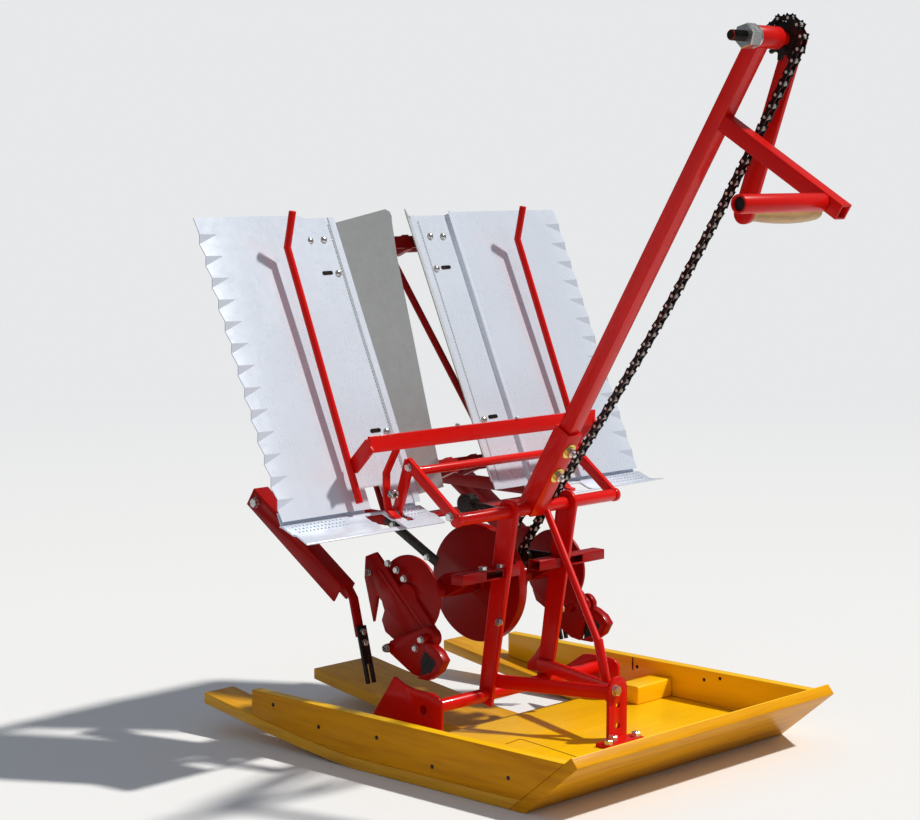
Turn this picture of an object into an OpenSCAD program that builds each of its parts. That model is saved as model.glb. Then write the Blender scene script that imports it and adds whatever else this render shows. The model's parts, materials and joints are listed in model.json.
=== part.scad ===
// Walk behind rice transplanter: a two row machine on a wooden sled, cranked and drawn by hand.
// Millimetres. +Z up, the bow and the hand crank at -Y, the seedling trays lean towards +Y.
// The origin is on the ground below the middle of the overall box.

/* [Sled] */
// half width over the side boards
sled_half = 269; // [250:1:290]
// thickness of the three runner planks
plank_t = 16; // [12:1:20]
// thickness of the deck boards laid on the planks
deck_t = 12; // [9:1:15]
// thickness of the side and bow boards
board_t = 17; // [13:1:20]
// height of the side boards' top edge
side_top_z = 74; // [66:1:84]
// height of the bow board's outer top edge
bow_top_z = 71; // [64:1:78]
// rise of the planks' tails over the ground
tail_rise = 38; // [20:1:50]
// half width of the centre plank
centre_half = 60; // [48:1:72]
// distance from the middle to the outer edge of a planting slot
slot_outer = 214; // [208:1:222]
// height of the cross batten on the deck
batten_h = 26; // [14:1:34]

/* [Lower frame] */
// diameter of the lower cross tube
lower_tube_d = 18; // [14:1:20]
// thickness of the posts and other flat steel
flat_t = 5; // [4:0.5:6]
// width of a post at its head
post_head_w = 34; // [28:1:38]
// width of a post at its foot
post_foot_w = 25; // [20:1:30]
// distance of the posts' inner faces from the middle
post_x = 57; // [56:1:62]
// width of the depth plate at the bow end of the yoke
depth_w = 37; // [28:1:44]
// height of the depth plate over the deck
depth_h = 86; // [76:1:96]
// diameter of the brace rod and the press rods
rod_d = 10; // [8:1:12]

/* [Upper frame] */
// height of the upper cross tube over the ground
tube_z = 326; // [318:1:330]
// diameter of the upper cross tube
upper_tube_d = 17; // [14:1:20]
// diameter of the rear cross tube
rear_tube_d = 12; // [9:1:14]
// width of the side frames' flat legs
leg_w = 14; // [12:1:16]
// height of the flat press bar
press_h = 22; // [16:1:26]
// distance of the press rods from the middle
rod_x = 230; // [222:1:238]
// length of the mast from the upper cross tube to the crank axle
mast_l = 717; // [640:1:760]
// width of the mast's square tube
mast_w = 21; // [18:1:24]
// wall thickness of the sleeve at the mast's foot
sleeve_wall = 3.5; // [3:0.5:5]
// length of the sleeve
sleeve_l = 134; // [110:1:150]
// outer diameter of the crank hub on the mast
hub_d = 28; // [24:1:36]
// outer diameter of the fixed hand grip
grip_d = 22.5; // [20:0.5:28]
// length of the fixed hand grip
grip_l = 176; // [140:1:190]

/* [Drive] */
// teeth of both chain wheels
teeth = 10; // [9:1:12]
// pitch of the roller chain
pitch = 15.875; // [14:0.125:16]
// thickness of the chain wheels
wheel_t = 5; // [4:0.5:6]
// diameter of the crank axle and the main shaft
shaft_d = 16; // [14:1:18]
// throw of the hand crank
crank_throw = 228; // [180:1:240]
// width of the crank arm
arm_w = 28; // [24:1:32]
// diameter of the wooden crank handle
handle_d = 30; // [26:1:34]
// length of the wooden crank handle
handle_l = 158; // [120:1:170]
// radius of the drum on the main shaft
drum_r = 82; // [70:1:88]
// radius of the crank discs at the shaft's ends
disc_r = 55; // [46:1:58]
// outer diameter of the shaft housings
housing_d = 24; // [22:1:28]

/* [Trays] */
// thickness of the tray sheets
sheet_t = 1.5; // [1:0.5:3]
// inclination of the trays over the horizontal
tray_angle = 66.2; // [64:0.1:68]
// length of a tray up its slope
tray_l = 411; // [390:1:420]
// distance of the trays' outer edges from the middle
tray_outer = 358; // [345:1:362]
// distance of the foot of the left tray's inner wall from the middle
wall_left_x = 107; // [100:1:112]
// distance of the foot of the right tray's inner wall from the middle
wall_right_x = 43; // [38:1:60]
// crimps along a tray's outer edge
crimps = 13; // [10:1:15]
// depth of a crimp
crimp_d = 7; // [4:1:9]
// distance of the outer ends of the sills from the middle
sill_outer = 361; // [359:1:372]

/* [Hidden] */
$fn = 40;
fit = 0.05;                      // radial clearance of running and seated fits
ys = 58.5;                       // moves the machine so that the origin is below its middle
wood_side = [0.93, 0.62, 0.05];
wood_top = [0.98, 0.72, 0.08];
red = [0.78, 0.06, 0.05];
dark_red = [0.55, 0.05, 0.04];
steel = [0.72, 0.73, 0.75];
black = [0.06, 0.06, 0.06];
tan_wood = [0.72, 0.55, 0.30];
deck_z = plank_t + deck_t;       // top of the deck
deck_rear = 55;                  // rear edge of the deck, where the slots begin
tail_y = 385;                    // end of the planks
tail_from = 90;                  // where the planks begin to rise
side_rear = 284;                 // rear end of the side boards
rake = [-0.767, 0.641];          // direction of the raked bow in Y and Z
bow_foot = -216;                 // the bow's lowest outer edge
low = [40, 71];                  // lower cross tube in Y and Z
up = [0, tube_z];                  // upper cross tube
apex = [88, 393];                // top of the side frames
rear_foot = [112, 318];          // rear feet of the side frames
shaft = [98, 212];               // main shaft
pin = [50, 163];                 // crank pins at rest
mast_x = -10;                    // the mast stands a little left of the middle
mast_lean = 30.9;                // lean of the mast from the vertical
crank_angle = -71;               // direction of the crank arm at rest
// point on the mast's middle line, at a length from the upper cross tube
function on_line(l) = up + [4 - l * sin(mast_lean), l * cos(mast_lean)];
hub = on_line(mast_l);           // crank axle on the mast
handle = hub + crank_throw * [cos(crank_angle), sin(crank_angle)];
chain_x = 43;                    // plane of the chain
pitch_r = pitch / (2 * sin(180 / teeth));
bend = [123, 337];               // foot line of the trays in Y and Z
lever_pivot = [338, 320];        // rear pivots of the claw levers
lever_front = [175, 213];        // front ends of the claw levers
row_x = 197;                     // distance of the two rows from the middle
bar_y = 4;                       // front face of the crossbar through the posts
bar_z = 236;                     // underside of the crossbar
bar_w = 21;                      // depth of the crossbar
bar_h = 14;                      // height of the crossbar
bar_x = 145;                     // half length of the crossbar

// Helpers

// extrudes a Y-Z outline from x0 to x1
module yz(x0, x1) translate([x0, 0, 0]) rotate([90, 0, 90]) linear_extrude(x1 - x0) children();

// a round bar along X, at y and z, from x0 to x1
module xrod(p, x0, x1, d) translate([x0, p[0], p[1]]) rotate([0, 90, 0]) cylinder(d = d, h = x1 - x0);

// a round rod between two points
module rod(a, b, d) {
    v = b - a;
    l = norm(v);
    translate(a) rotate([0, acos(v[2] / l), atan2(v[1], v[0])]) cylinder(d = d, h = l);
}

// a flat bar in the Y-Z plane from a to b, as an outline
module bar2d(a, b, w, ea = 0, eb = 0) {
    v = b - a;
    translate(a) rotate(atan2(v[1], v[0])) translate([-ea, -w / 2]) square([norm(v) + ea + eb, w]);
}

// mirrors a right-hand piece to the left when side is -1
module side(s) if (s < 0) mirror([1, 0, 0]) children(); else children();

// shifts a piece from the working frame into the part's frame
module place() translate([0, ys, 0]) children();

// height of the planks' underside
function plank_z(y) = y <= tail_from ? 0 : tail_rise * pow((y - tail_from) / (tail_y - tail_from), 1.25);

// Sled

plank_ys = [for (i = [0:9]) tail_from + (tail_y - tail_from) * i / 9];
bow_in = bow_foot + 25;          // the bow's inner foot
// where the bow's inner face is at height z
function bow_face(z) = bow_in + rake[0] / rake[1] * z;

// where the planks' top meets the side boards' rear end
side_step = (tail_y - tail_from) / 9;
side_low = tail_from + side_step * floor((side_rear - tail_from) / side_step);
side_seat = plank_t + plank_z(side_low) + (plank_z(side_low + side_step) - plank_z(side_low))
    * (side_rear - side_low) / side_step;

module plank2d() polygon(concat(
    [[bow_face(plank_t), plank_t], [bow_in, 0]],
    [for (y = plank_ys) [y, plank_z(y)]],
    [for (i = [9:-1:0]) [plank_ys[i], plank_z(plank_ys[i]) + plank_t]]));

module plank(x0, x1) color(wood_top) place() yz(x0, x1) plank2d();

module runner_left() plank(-sled_half, -slot_outer);
module runner_centre() plank(-centre_half, centre_half);
module runner_right() plank(slot_outer, sled_half);

module deck() color(wood_top) place() yz(-sled_half + board_t, sled_half - board_t)
    polygon([[bow_face(plank_t), plank_t], [deck_rear, plank_t],
        [deck_rear, deck_z], [bow_face(deck_z), deck_z]]);

module side_board(s) color(wood_side) place() side(s) yz(sled_half - board_t, sled_half)
    polygon(concat(
        [[bow_face(side_top_z), side_top_z], [bow_face(plank_t), plank_t]],
        [for (y = plank_ys) if (y < side_rear) [y, plank_z(y) + plank_t]],
        [[side_rear, side_seat], [side_rear, side_top_z]]));

module side_board_left() side_board(-1);
module side_board_right() side_board(1);

module bow_board() {
    top = bow_foot + rake[0] / rake[1] * bow_top_z;
    inner = bow_top_z + 12.3;
    color(wood_side) place() yz(-sled_half, sled_half)
        polygon([[bow_foot, 0], [top, bow_top_z], [bow_face(inner), inner], [bow_in, 0]]);
}

module cross_batten() color(wood_top) place()
    translate([172, -36, deck_z]) cube([sled_half - board_t - 174, 36, batten_h]);

// Lower frame

module lower_tube() color(red) place() difference() {
    xrod(low, -179, 179, lower_tube_d);
    xrod(low, -180, 180, lower_tube_d - 5);
}

// upper edges of the foot brackets, from their rear end to the front one
bracket_left = [[94, 108], [78, 101], [60, 97], [42, 96], [24, 96], [13, 93], [8, 88], [6, 80]];
bracket_right = [[72, 84], [60, 86], [24, 86], [13, 84], [8, 79], [6, 72]];
module foot_bracket(s) color(red) place() side(s) {
    difference() {
        yz(179, 179 + flat_t) polygon(concat(s < 0 ? bracket_left : bracket_right,
            [[6, deck_z], [deck_rear, deck_z], [deck_rear, 34], [146, 34]]));
        xrod(low, 170, 190, lower_tube_d - 5);
    }
    translate([179 + flat_t, 8, deck_z]) cube([44, 44, flat_t]);
}
module foot_bracket_left() foot_bracket(-1);
module foot_bracket_right() foot_bracket(1);

module post(s) {
    d = (low - up) / norm(low - up);
    n = [-d[1], d[0]];
    foot = low + d * 14;
    color(red) place() side(s) difference() {
        yz(post_x, post_x + flat_t) difference() {
            union() {
                translate(up) circle(d = post_head_w);
                polygon([up + n * post_head_w / 2, up - n * post_head_w / 2,
                    foot - n * post_foot_w / 2, foot + n * post_foot_w / 2]);
                if (s > 0) polygon([[30, 150], [45, 122], [56, 106], [70, 92], [70, 82], [36, 82]]);
            }
            translate([bar_y, bar_z]) square([bar_w, bar_h]);
        }
        xrod(up, 0, 100, upper_tube_d + 2 * fit);
        xrod(low, 0, 100, lower_tube_d + 2 * fit);
    }
}
module post_left() post(-1);
module post_right() post(1);

// the yoke's two flat bars run from the posts' feet to the depth plate
module yoke() color(red) place() translate([0, 0, 82]) linear_extrude(19) {
    polygon([[16, -137], [16, -132], [9, -130], [post_x, 12], [post_x, 48], [post_x - flat_t, 48],
        [post_x - flat_t, 18], [3, -131], [-3, -131], [flat_t - post_x, 18], [flat_t - post_x, 48],
        [-post_x, 48], [-post_x, 12], [-9, -130], [-16, -132], [-16, -137]]);
}

module depth_plate() color(red) place() {
    difference() {
        union() {
            translate([-depth_w / 2, -137 - flat_t, deck_z]) cube([depth_w, flat_t, depth_h - depth_w / 2]);
            translate([0, -137, deck_z + depth_h - depth_w / 2]) rotate([90, 0, 0])
                cylinder(d = depth_w, h = flat_t);
        }
        for (z = [20, 48]) translate([0, -130, deck_z + z]) rotate([90, 0, 0])
            cylinder(d = 9, h = 20);
    }
    translate([-46, -165, deck_z]) cube([72, 23, flat_t]);
}

module brace_rod() color(red) place() difference() {
    knee = [12, -98, 150];
    union() {
        rod([13, up[0], up[1]], knee, rod_d);
        rod(knee + [0, 1.5, 6], [12, -113, 92], rod_d + 3);
    }
    xrod(up, -40, 40, upper_tube_d + 2 * fit);
    translate([-20, -160, 60]) cube([60, 60, 41]);
}

module mid_crossbar(x0) color(dark_red) place() difference() {
    translate([x0, bar_y, bar_z]) cube([bar_x - x0, bar_w, bar_h]);
    translate([x0 - 1, bar_y + 2, bar_z + 2]) cube([bar_x - x0 - 1, bar_w - 4, bar_h - 4]);
    translate([66, bar_y - 1, bar_z + 2]) cube([32, 4, bar_h - 4]);
}
module crossbar_left() mirror([1, 0, 0]) mid_crossbar(32);
module crossbar_right() mid_crossbar(8);

// Upper frame

module upper_tube() color(red) place() difference() {
    xrod(up, -156, 156, upper_tube_d);
    xrod(up, -171, 171, upper_tube_d - 5);
}

module rear_tube() color(red) place() xrod([88, 381], -156, 156, rear_tube_d);

module side_frame(s) color(red) place() side(s) yz(156, 164) difference() {
    union() {
        translate(up) circle(d = upper_tube_d + 2);
        bar2d(up, apex, leg_w, 0, 4);
        bar2d(apex, rear_foot, leg_w, 4, 6);
    }
    translate([60, 250]) square([100, rear_foot[1] - 250]);
}
module side_frame_left() side_frame(-1);
module side_frame_right() side_frame(1);

hole_y = 76;                     // front edge of the picking holes
// upper faces of the sills, from their front edge to the foot line of the trays
function sill_top(s) = [[70, s < 0 ? 311 : 323], [90, 320], [97, 320.5], [117, 328.2], [122, 328]];
gate_x = [172, 183];             // the gate plates stand just inside the picking holes
gate_pts = [[94, 412], [99, 404], [113, 380], [113, 346], [109, 331], [99, 323], [91, 322]];
// a strip of even thickness t along points in the Y-Z plane
module strip2d(pts, t) for (i = [0:len(pts) - 2]) {
    bar2d(pts[i], pts[i + 1], t);
    if (i > 0) translate(pts[i]) circle(d = t, $fn = 12);
}
module gate_plate(s) color(red) place() side(s) yz(gate_x[0], gate_x[1]) difference() {
    strip2d(gate_pts, 4);
    translate([80, 412]) square(30);
    polygon(concat(sill_top(s), [[122, 300], [70, 300]]));
}
module gate_plate_left() gate_plate(-1);
module gate_plate_right() gate_plate(1);

rod_bend = [247, 676];           // bend of the press rods in Y and Z
rod_foot = [110, 345];           // lower ends of the press rods
module press_rod2(d) {
    rod([rod_x, rod_foot[0], rod_foot[1]], [rod_x, rod_bend[0], rod_bend[1] + 1], d);
    rod([rod_x, rod_bend[0] + 0.4, rod_bend[1] - 1], [rod_x, 236, 725], d);
}
module press_rod(s) color(red) place() side(s) press_rod2(rod_d);

module press_bar() color(red) place() difference() {
    union() {
        translate([2 - rod_x, 92, 412]) cube([2 * rod_x - 4, flat_t, press_h]);
        for (s = [-1, 1]) side(s) yz(rod_x - 7, rod_x - 2) bar2d([94, 423], [127, 390], press_h - 2);
    }
    for (s = [-1, 1]) side(s) press_rod2(rod_d + 2 * fit);
}

module press_rod_left() press_rod(-1);
module press_rod_right() press_rod(1);

// frame of the mast: Z runs up the mast from the upper tube
module on_mast() translate([mast_x, 4, up[1]]) rotate([mast_lean, 0, 0]) children();

module mast_sleeve() color(red) place() difference() {
    w = mast_w + 2 * sleeve_wall;
    on_mast() translate([-w / 2, -w / 2, -4]) cube([w, w, sleeve_l]);
    on_mast() translate([-mast_w / 2 - fit, -mast_w / 2 - fit, 18]) cube([mast_w + 2 * fit, mast_w + 2 * fit, sleeve_l]);
    xrod(up, -60, 60, upper_tube_d + 2 * fit);
}

module mast() color(red) place() difference() {
    union() {
        on_mast() translate([-mast_w / 2, -mast_w / 2, 18]) cube([mast_w, mast_w, mast_l - 14]);
        xrod(hub, -22, 24, hub_d);
    }
    xrod(hub, -30, 30, shaft_d + 2 * fit);
    on_mast() translate([3 - mast_w / 2, 3 - mast_w / 2, 15]) cube([mast_w - 6, mast_w - 6, mast_l - 32]);
}

module hand_grip() {
    // the square bar leaves the mast below the crank, the round grip hangs under its end
    root = on_line(mast_l - 114);
    v = 189 * [-0.852, -0.523];
    tube = root + [-160, -100.5];
    color(red) place() difference() {
        union() {
            translate([mast_x, root[0], root[1]]) rotate([-atan2(-v[0], -v[1]), 0, 0]) difference() {
                translate([-10, -10, -norm(v) - 26]) cube([20, 20, norm(v) + 26]);
                translate([-7.5, -7.5, -norm(v) - 27]) cube([15, 15, 10]);
            }
            // the tube stops just short of the bar and a plug joins them
            xrod(tube, mast_x - grip_l, mast_x - 10.2, grip_d);
            xrod(tube, mast_x - 14, mast_x - 6, grip_d - 6);
        }
        xrod(tube, mast_x - grip_l - 5, mast_x - 14, grip_d - 5);
        on_mast() translate([-mast_w, -mast_w / 2, 18]) cube([2 * mast_w, 2 * mast_w, mast_l]);
    }
}

// Drive

// a toothed wheel around X
module chain_wheel(p, bore) translate([chain_x - wheel_t / 2, p[0], p[1]]) rotate([90, 0, 90])
    linear_extrude(wheel_t) difference() {
        polygon([for (i = [0:teeth - 1], c = [[-0.32, -5.2], [-0.12, 2.4], [0.12, 2.4], [0.32, -5.2]])
            let (a = (i + c[0]) * 360 / teeth, r = pitch_r + c[1]) [r * cos(a), r * sin(a)]]);
        circle(d = bore);
    }

module upper_chain_wheel() color(black) place() chain_wheel(hub, shaft_d);
module lower_chain_wheel() color(black) place() chain_wheel(shaft, shaft_d);

module crank() color(red) place() {
    xrod(hub, -40, 58, shaft_d);
    xrod(hub, 49, 60, 30);
    yz(60, 66) {
        translate(hub) circle(d = arm_w + 6);
        translate(handle) circle(d = arm_w);
        bar2d(hub, handle, arm_w - 0.4);
    }
    xrod(handle, 66, 72 + handle_l, 10);
    xrod(hub, -25.5, -22.5, 26);
    translate([-43, hub[0], hub[1]]) rotate([0, 90, 0]) cylinder(d = 27, h = 17.5, $fn = 6);
    xrod(hub, -69, -42, 12);
}

module crank_handle() color(tan_wood) place() translate([68, handle[0], handle[1]])
    rotate([0, 90, 0]) rotate_extrude() polygon([[5 + fit, 0], [12, 0], [13, 4], [11, 10],
        [handle_d / 2 - 2, handle_l * 0.3], [handle_d / 2, handle_l * 0.6], [handle_d / 2 - 2, handle_l * 0.9],
        [9, handle_l], [5 + fit, handle_l]]);

module main_shaft() color(dark_red) place() {
    xrod(shaft, -151, 151, shaft_d);
    for (s = [-1, 1]) side(s) {
        xrod(shaft, 145, 150, disc_r * 2);
        yz(150, 156) {
            translate(shaft) circle(d = 34);
            translate(pin) circle(d = 26);
            bar2d(pin, shaft, 24);
        }
        xrod(pin, 156, 176, 12);
    }
}

module drum() color(dark_red) place() difference() {
    union() {
        xrod(shaft, -20, -16, 2 * drum_r);
        difference() {
            xrod(shaft, -20, -4, 2 * drum_r);
            xrod(shaft, -19, 0, 2 * drum_r - 7);
        }
        xrod(shaft, -24, 2, 30);
    }
    xrod(shaft, -30, 10, shaft_d);
}

module shaft_housing(s) color(red) place() {
    x0 = s < 0 ? 30 : 62;
    side(s) difference() {
        union() {
            xrod(shaft, x0, 140, housing_d);
            yz(86, 92) polygon([[25, 236], [25, 250], [88, 236], [108, 222], [110, 206], [98, 199], [84, 206]]);
        }
        xrod(shaft, 0, 150, shaft_d + 2 * fit);
    }
}
module shaft_housing_left() shaft_housing(-1);
module shaft_housing_right() shaft_housing(1);

// half pitch points along a closed line
function seg_len(p, i) = norm(p[(i + 1) % len(p)] - p[i]);
function walk(p) = [for (i = [0:len(p) - 1]) let (l = seg_len(p, i), n = max(1, round(l / pitch)))
    for (k = [0:2 * n - 1]) p[i] + (p[(i + 1) % len(p)] - p[i]) * k / (2 * n)];
dir_up = atan2(hub[1] - shaft[1], hub[0] - shaft[0]);
idler_p = [61, 246];
loop_pts = concat(
    // over the upper wheel, from its front round to its rear
    [for (i = [0:6]) let (a = dir_up + 90 - 180 * i / 6) hub + pitch_r * [cos(a), sin(a)]],
    // round the lower wheel
    [for (i = [0:7]) let (a = 32 - 212 * i / 7) shaft + pitch_r * [cos(a), sin(a)]],
    // up past the front idler
    [[idler_p[0] + 12, idler_p[1]]]);
link_pts = walk(loop_pts);
function offset_pt(p, i, d) = let (n = len(p), t = p[(i + 1) % n] - p[(i + n - 1) % n]) p[i] + d * [-t[1], t[0]] / norm(t);

module chain_side() linear_extrude(1.8) difference() {
    polygon([for (i = [0:len(link_pts) - 1]) offset_pt(link_pts, i, i % 2 == 0 ? 7 : 5)]);
    polygon([for (i = [0:len(link_pts) - 1]) offset_pt(link_pts, i, i % 2 == 0 ? -7 : -5)]);
}

module chain() color(black) place() {
    for (x = [chain_x - 6, chain_x + 4.2]) translate([x, 0, 0]) rotate([90, 0, 90]) chain_side();
    for (i = [0:2:len(link_pts) - 1]) let (p = link_pts[i])
        if (norm(p - hub) > pitch_r + 12 && norm(p - shaft) > pitch_r + 12)
            xrod(p, chain_x - 6, chain_x + 6, 7, $fn = 4);
}

module idler() color(black) place() {
    xrod(idler_p, chain_x - 3, chain_x + 3, 16);
    xrod(idler_p, chain_x + 3, chain_x + 8, 8);
    translate([chain_x + 8, bar_y + bar_w, idler_p[1] - 8]) cube([4, 43, 16]);
}

// Planting arms and claw levers

arm_pts = [[118, 150], [62, 174], [36, 166], [38, 153], [53, 134], [61, 109], [77, 111], [117, 132], [127, 138]];
// the hook below the crank pin: outer edge from its top down, then the inner edge back
hook_pts = [[44, 160], [34, 157], [20, 150], [11, 139], [20, 123], [40, 109], [60, 109],
    [53, 114], [34, 121], [25, 133], [27, 138], [46, 148]];
module arm(s) color(dark_red) place() side(s) {
    difference() {
        yz(159, 166) {
            translate(pin) circle(d = 30);
            polygon(arm_pts);
        }
        xrod(pin, 150, 170, 12 + 2 * fit);
    }
    difference() {
        yz(161, 174) polygon(hook_pts);
        xrod(pin, 150, 180, 12 + 2 * fit);
    }
    xrod([118, 141], 166, 173, 12);
}
module arm_left() arm(-1);
module arm_right() arm(1);

module claw_lever(s) {
    v = lever_front - lever_pivot;
    l = norm(v);
    color(dark_red) place() side(s) difference() {
        union() {
            translate([row_x - 13, lever_pivot[0], lever_pivot[1]]) rotate([atan2(v[1], v[0]), 0, 0]) difference() {
                translate([0, -14, -14]) cube([26, l + 14, 28]);
                translate([3, -20, -11]) cube([20, l + 30, 29]);
            }
            yz(row_x - 7, row_x + 7) strip2d([[195, 237.4], [165.6, 218.1], [157, 207], [144, 157]], 4);
        }
        xrod(lever_pivot, 150, 230, 12 + 2 * fit);
    }
}
module claw_lever_left() claw_lever(-1);
module claw_lever_right() claw_lever(1);

module claw(s) color(black) place() side(s) translate([row_x, 144, 157]) rotate([-14.6, 0, 0])
    difference() {
        translate([-8, -7, -64]) cube([16, 5, 78]);
        translate([-3, -8, -66]) cube([6, 8, 28]);
    }
module claw_left() claw(-1);
module claw_right() claw(1);

// Trays

// frame of the trays: Y runs up the slope, Z stands off the sheet towards the bow
module on_tray() translate([0, bend[0], bend[1]]) rotate([tray_angle, 0, 0]) children();
wall_angle = 39.6;               // flare of the inner walls
rail_y = [40, 372];              // the two slide rails up the slope

module tray(s) color(steel) place() side(s) on_tray() {
    wall_x = s < 0 ? wall_left_x : wall_right_x;
    n = crimps;
    step = (tray_l - 10) / n;
    linear_extrude(sheet_t) difference() {
        polygon(concat([[wall_x, 4], [tray_outer - 2, 4]],
            [for (i = [0:n - 1], c = [[0.02, -crimp_d], [0.2, 0], [0.8, 0], [0.98, -crimp_d]])
                [tray_outer + c[1], 8 + (i + c[0]) * step]],
            [[tray_outer, tray_l + 6], [wall_x, tray_l]]));
        for (y = [98, 329]) translate([wall_x + 32, y]) square([20, 6]);
    }
    translate([wall_x + 1.2, 0, 1]) rotate([0, wall_angle, 0]) linear_extrude(sheet_t)
        polygon([[0, 5], [0, tray_l - 1], [-70, tray_l - 4], [-82, tray_l - 16], [-40, 5]]);
    // bead beside the wall
    translate([wall_x + 12, 4, sheet_t]) cube([4, tray_l - 6, 2]);
}
module tray_left() tray(-1);
module tray_right() tray(1);

// an angle bar from the origin along X or Y, its outer faces on the axes' planes
module angle_bar(size, t) difference() {
    cube(size);
    translate([size[0] > size[1] ? -1 : t, size[0] > size[1] ? t : -1, t])
        cube([size[0] + 2, size[1] + 2, size[2]]);
}

module tray_carriage() color(red) place() on_tray() difference() {
    union() {
        for (y = rail_y) {
            translate([-330, y + 9, 0]) rotate([180, 0, 0]) angle_bar([660, 18, 14], 2.5);
            for (x = [-31, 19]) {
                translate([x, y - 11, -27]) cube([12, 22, 27]);
                translate([x, y, -27]) rotate([0, 90, 0]) cylinder(d = 22, h = 12);
            }
        }
        rod([-14, rail_y[1] - 6, -6.5], [70, rail_y[0] + 6, -6.5], rod_d);
    }
    for (y = rail_y) translate([-60, y, -27]) rotate([0, 90, 0]) cylinder(d = 12 + 2 * fit, h = 120);
}

module tray_stand() color(dark_red) place() {
    on_tray() {
        for (s = [-1, 1]) side(s) translate([142, -20, -20]) mirror([0, 0, 1]) angle_bar([16, 412, 18], 3);
        for (y = rail_y) translate([-143, y, -27]) rotate([0, 90, 0]) cylinder(d = 12, h = 286);
    }
    for (s = [-1, 1]) side(s) {
        translate([168, 120, 308]) cube([6, 234, 18]);
        translate([143, 120, 308]) cube([28, 30, 6]);
        xrod(lever_pivot, 172, 214, 12);
    }
}

module sill_beam() color(dark_red) place() difference() {
    translate([-176, 90, 308]) cube([352, 30, 10]);
    translate([-180, 86, 300]) cube([360, 30, 14]);
}

module sill(s) color(steel) place() side(s) difference() {
    yz(109, sill_outer) polygon(concat(sill_top(s),
        [[122, 326], [118, 326], [97, 318], [90, 318], [70, s < 0 ? 309 : 321]]));
    translate([gate_x[1] + 2, hole_y, 300]) cube([34, 38, 60]);
    translate([154, 84, 300]) cube([12, 50, 60]);
}
module sill_left() sill(-1);
module sill_right() sill(1);

deck();
runner_left();
runner_centre();
runner_right();
side_board_left();
side_board_right();
bow_board();
cross_batten();
lower_tube();
foot_bracket_left();
foot_bracket_right();
post_left();
post_right();
yoke();
depth_plate();
brace_rod();
crossbar_left();
crossbar_right();
upper_tube();
rear_tube();
side_frame_left();
side_frame_right();
gate_plate_left();
gate_plate_right();
press_bar();
press_rod_left();
press_rod_right();
mast_sleeve();
mast();
hand_grip();
shaft_housing_left();
shaft_housing_right();
sill_beam();
sill_left();
sill_right();
tray_stand();
chain();
idler();
crank();
crank_handle();
upper_chain_wheel();
main_shaft();
lower_chain_wheel();
drum();
arm_left();
arm_right();
claw_lever_left();
claw_lever_right();
claw_left();
claw_right();
tray_left();
tray_right();
tray_carriage();
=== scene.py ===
import bpy, bmesh, json, math
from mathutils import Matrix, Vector, noise

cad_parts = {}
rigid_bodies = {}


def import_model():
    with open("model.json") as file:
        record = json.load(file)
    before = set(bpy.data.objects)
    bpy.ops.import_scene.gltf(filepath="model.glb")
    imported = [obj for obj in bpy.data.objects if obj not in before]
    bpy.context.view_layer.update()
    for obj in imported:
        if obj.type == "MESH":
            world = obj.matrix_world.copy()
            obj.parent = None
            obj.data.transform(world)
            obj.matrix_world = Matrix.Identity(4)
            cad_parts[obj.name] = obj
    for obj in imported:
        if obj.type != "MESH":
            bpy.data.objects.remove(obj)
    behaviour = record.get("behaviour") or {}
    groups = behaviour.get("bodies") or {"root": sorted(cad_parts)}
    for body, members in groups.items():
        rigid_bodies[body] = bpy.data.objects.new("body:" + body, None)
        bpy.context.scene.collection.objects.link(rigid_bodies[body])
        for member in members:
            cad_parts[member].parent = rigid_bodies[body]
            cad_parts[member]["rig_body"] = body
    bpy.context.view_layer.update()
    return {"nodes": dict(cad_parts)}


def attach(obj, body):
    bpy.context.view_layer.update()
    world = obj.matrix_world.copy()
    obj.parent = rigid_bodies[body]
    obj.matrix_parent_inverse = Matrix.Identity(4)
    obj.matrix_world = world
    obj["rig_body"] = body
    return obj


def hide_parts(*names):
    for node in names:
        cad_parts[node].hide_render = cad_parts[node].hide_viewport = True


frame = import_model()
MM = 0.001
FRAME_SHIFT = 58.5     # mm that the part's frame lies behind the drawing's frame
NODES = frame["nodes"]
BODY = {o.name: o["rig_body"] for o in NODES.values()}
X, Y, Z = Vector((1, 0, 0)), Vector((0, 1, 0)), Vector((0, 0, 1))
SIDES = (("left", -1), ("right", 1))


def at(x, y, z):
    """A point of the drawing's frame in millimetres, as metres of the part's frame."""
    return Vector((x * MM, (y + FRAME_SHIFT) * MM, z * MM))


# Camera, fitted to the photo: lens in mm, place in metres, turns in degrees
CAMERA_LENS = 88.94
CAMERA_PLACE = (-2.284, -1.9595, 0.789)
CAMERA_TILT, CAMERA_HEADING = 83.8, -46.54
camera_data = bpy.data.cameras.new("camera")
camera_data.lens = CAMERA_LENS
camera_data.sensor_width = 36.0
camera = bpy.data.objects.new("camera", camera_data)
camera.location = CAMERA_PLACE
camera.rotation_euler = (math.radians(CAMERA_TILT), 0, math.radians(CAMERA_HEADING))
bpy.context.scene.collection.objects.link(camera)
bpy.context.scene.camera = camera
bpy.context.scene.view_settings.view_transform = "Standard"


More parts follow.
